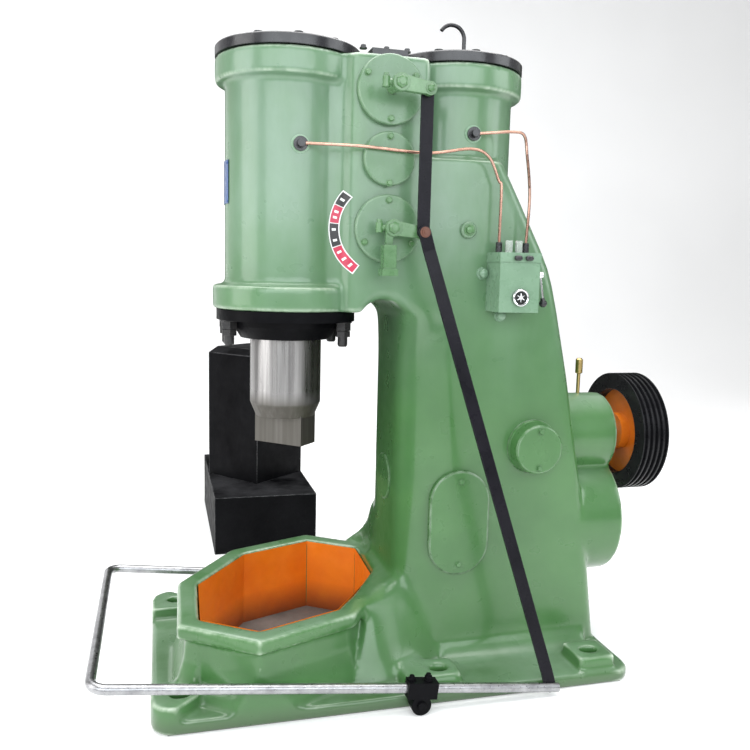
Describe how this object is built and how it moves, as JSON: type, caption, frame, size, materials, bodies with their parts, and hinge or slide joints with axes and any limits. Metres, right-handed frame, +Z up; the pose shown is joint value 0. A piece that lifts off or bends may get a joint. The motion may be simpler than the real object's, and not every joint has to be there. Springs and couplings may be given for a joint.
{
  "type": "air forging hammer",
  "caption": "Pneumatic forging hammer: cast frame with anvil well, ram and pump cylinders, valve levers, foot treadle, drive pulley, lubricator and separate anvil.",
  "frame": {"origin": "centre of the four corner foundation slots, on the floor", "axes": "+Z up, +X from the ram towards the drive pulley, -Y on the valve and lubricator side"},
  "size_m": [2.0829, 2.575, 2.291],
  "materials": {
    "green_paint": "gloss paint over rough casting",
    "black_paint": "gloss black paint",
    "orange_paint": "orange primer paint",
    "steel": "turned and ground steel",
    "black_iron": "black painted iron",
    "brass": "machined",
    "copper": "drawn copper tube",
    "glass": "clear"
  },
  "bodies": {
    "frame": {"base_casting": "green_paint", "column_casting": "green_paint", "column_front_cover": "green_paint", "ram_cylinder": "green_paint", "pump_cylinder": "green_paint", "column_shoulder": "green_paint", "valve_chest": "green_paint", "ram_cylinder_cover": "black_paint", "pump_cylinder_cover": "black_paint", "chest_cover": "black_paint", "gland_ring": "black_paint", "upper_valve_cover": "green_paint", "middle_valve_cover": "green_paint", "lower_valve_cover": "green_paint", "treadle_pins": "steel", "oval_cover": "green_paint", "round_side_cover": "green_paint", "shaft_housing": "green_paint", "gear_housing": "green_paint", "shaft_oiler": "brass", "lubricator_box": "green_paint", "lubricator_lid": "green_paint", "lubricator_glass": "glass", "sight_tubes": "glass", "front_oil_pipe": "copper", "rear_oil_pipe": "copper", "oil_fittings": "black_paint", "breather": "black_paint", "plug_boss": "green_paint", "anvil_foot_block": "black_iron", "anvil_post_block": "black_iron"},
    "ram": {"ram": "steel"},
    "upper_lever": {"upper_valve_lever": "green_paint"},
    "lower_lever": {"lower_valve_lever": "green_paint"},
    "short_link": {"short_link": "black_paint"},
    "long_link": {"long_link": "black_paint"},
    "treadle": {"treadle_bar": "steel", "treadle_clamps": "black_paint"},
    "pulley": {"pulley_rim": "black_iron", "pulley_web": "orange_paint", "pulley_shaft": "steel"},
    "lubricator_crank": {"lubricator_lever": "black_paint"}
  },
  "joints": [
    {"name": "ram_slide", "type": "slide", "parent": "frame", "child": "ram", "axis": [0, 0, 1], "range_m": [0, 0.32]},
    {"name": "treadle_rock", "type": "hinge", "parent": "frame", "child": "treadle", "pos_m": [0.038, 0, 0.034], "axis": [0, -1, 0], "range_deg": [0, 6.5], "stiffness_Nm_per_rad": 400, "springref_deg": -28.65},
    {"name": "lower_valve_turn", "type": "hinge", "parent": "frame", "child": "lower_lever", "pos_m": [-0.041, -0.311, 1.554], "axis": [0, -1, 0], "range_deg": [0, 31.72]},
    {"name": "upper_valve_turn", "type": "hinge", "parent": "frame", "child": "upper_lever", "pos_m": [-0.041, -0.353, 1.992], "axis": [0, -1, 0], "range_deg": [0, 31.72]},
    {"name": "short_link_turn", "type": "hinge", "parent": "lower_lever", "child": "short_link", "pos_m": [0.05329, -0.332, 1.54242], "axis": [0, -1, 0], "range_deg": [-31.72, 0]},
    {"name": "long_link_turn", "type": "hinge", "parent": "lower_lever", "child": "long_link", "pos_m": [0.05329, -0.347, 1.54242], "axis": [0, -1, 0], "range_deg": [-31.59, 0]},
    {"name": "pulley_spin", "type": "hinge", "parent": "frame", "child": "pulley", "pos_m": [1.03, 0, 0.806], "axis": [1, 0, 0], "continuous": true},
    {"name": "lubricator_crank_swing", "type": "hinge", "parent": "frame", "child": "lubricator_crank", "pos_m": [0.465, -0.284, 1.416], "axis": [1, 0, 0], "range_deg": [-45, 20]}
  ],
  "couplings": [
    {"joint": "lower_valve_turn", "follows": "treadle_rock", "ratio": 4.88},
    {"joint": "upper_valve_turn", "follows": "treadle_rock", "ratio": 4.88},
    {"joint": "short_link_turn", "follows": "treadle_rock", "ratio": -4.88},
    {"joint": "long_link_turn", "follows": "treadle_rock", "ratio": -4.86}
  ]
}
